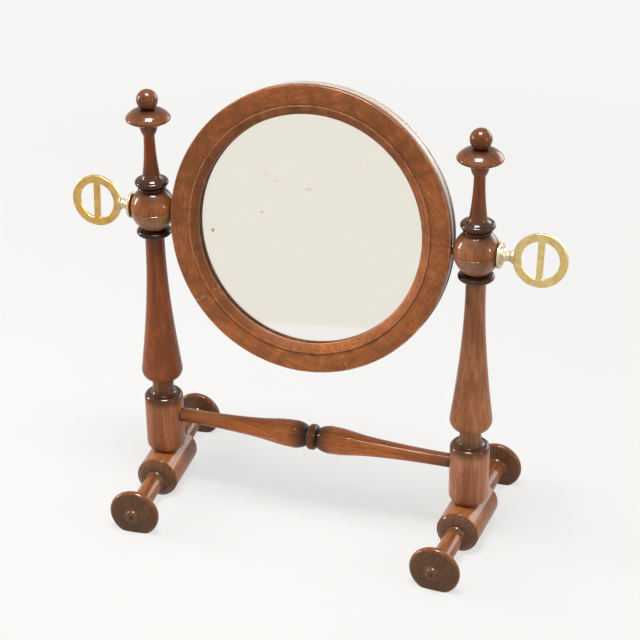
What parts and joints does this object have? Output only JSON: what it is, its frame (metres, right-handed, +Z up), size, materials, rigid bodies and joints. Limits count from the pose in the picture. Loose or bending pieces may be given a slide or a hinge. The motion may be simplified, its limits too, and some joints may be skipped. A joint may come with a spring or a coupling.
{
  "type": "swivel mirror",
  "caption": "Small dressing-table mirror: a round framed plate that swings between turned wooden posts on brass ring-headed thumb screws",
  "frame": {"origin": "on the table top, at the middle of the overall width and depth, between the two posts", "axes": "+Z up, -Y the side that the mirror faces, +X along the pivot line to the right as seen from the front"},
  "size_m": [0.2766, 0.1228, 0.2518],
  "materials": {
    "hardwood": "gloss varnish",
    "frame_wood": "satin varnish",
    "core_wood": "satin",
    "back_wood": "satin varnish",
    "mirror": "polished",
    "paper": "matte paper",
    "brass": "aged polish",
    "leather": "matte"
  },
  "bodies": {
    "stand": {"left_foot": "hardwood", "right_foot": "hardwood", "left_post": "hardwood", "right_post": "hardwood", "left_finial": "hardwood", "right_finial": "hardwood", "stretcher": "hardwood"},
    "mirror": {"frame_segment_1": "frame_wood", "frame_segment_2": "frame_wood", "frame_segment_3": "frame_wood", "frame_segment_4": "frame_wood", "frame_segment_5": "frame_wood", "frame_core": "core_wood", "mirror_glass": "mirror", "backing_paper": "paper", "back_plate": "back_wood", "back_screws": "brass", "left_socket": "brass", "right_socket": "brass", "left_pivot_washer": "leather", "right_pivot_washer": "leather"},
    "left_collar_body": {"left_collar": "brass"},
    "right_collar_body": {"right_collar": "brass"},
    "left_screw_body": {"left_thumb_screw": "brass"},
    "right_screw_body": {"right_thumb_screw": "brass"}
  },
  "joints": [
    {"name": "mirror_swing", "type": "hinge", "parent": "stand", "child": "mirror", "pos_m": [0, 0, 0.1742], "axis": [1, 0, 0], "continuous": true},
    {"name": "left_collar_slide", "type": "slide", "parent": "mirror", "child": "left_collar_body", "axis": [-1, 0, 0], "range_m": [0, 0.0032]},
    {"name": "left_screw_turn", "type": "hinge", "parent": "left_collar_body", "child": "left_screw_body", "pos_m": [-0.0906, 0, 0.1742], "axis": [-1, 0, 0], "range_deg": [-2, 1442]},
    {"name": "right_collar_slide", "type": "slide", "parent": "mirror", "child": "right_collar_body", "axis": [1, 0, 0], "range_m": [0, 0.0032]},
    {"name": "right_screw_turn", "type": "hinge", "parent": "right_collar_body", "child": "right_screw_body", "pos_m": [0.0906, 0, 0.1742], "axis": [1, 0, 0], "range_deg": [-2, 1442]}
  ],
  "couplings": [
    {"joint": "left_screw_turn", "follows": "left_collar_slide", "rad_per_m": 7854},
    {"joint": "right_screw_turn", "follows": "right_collar_slide", "rad_per_m": 7854}
  ]
}
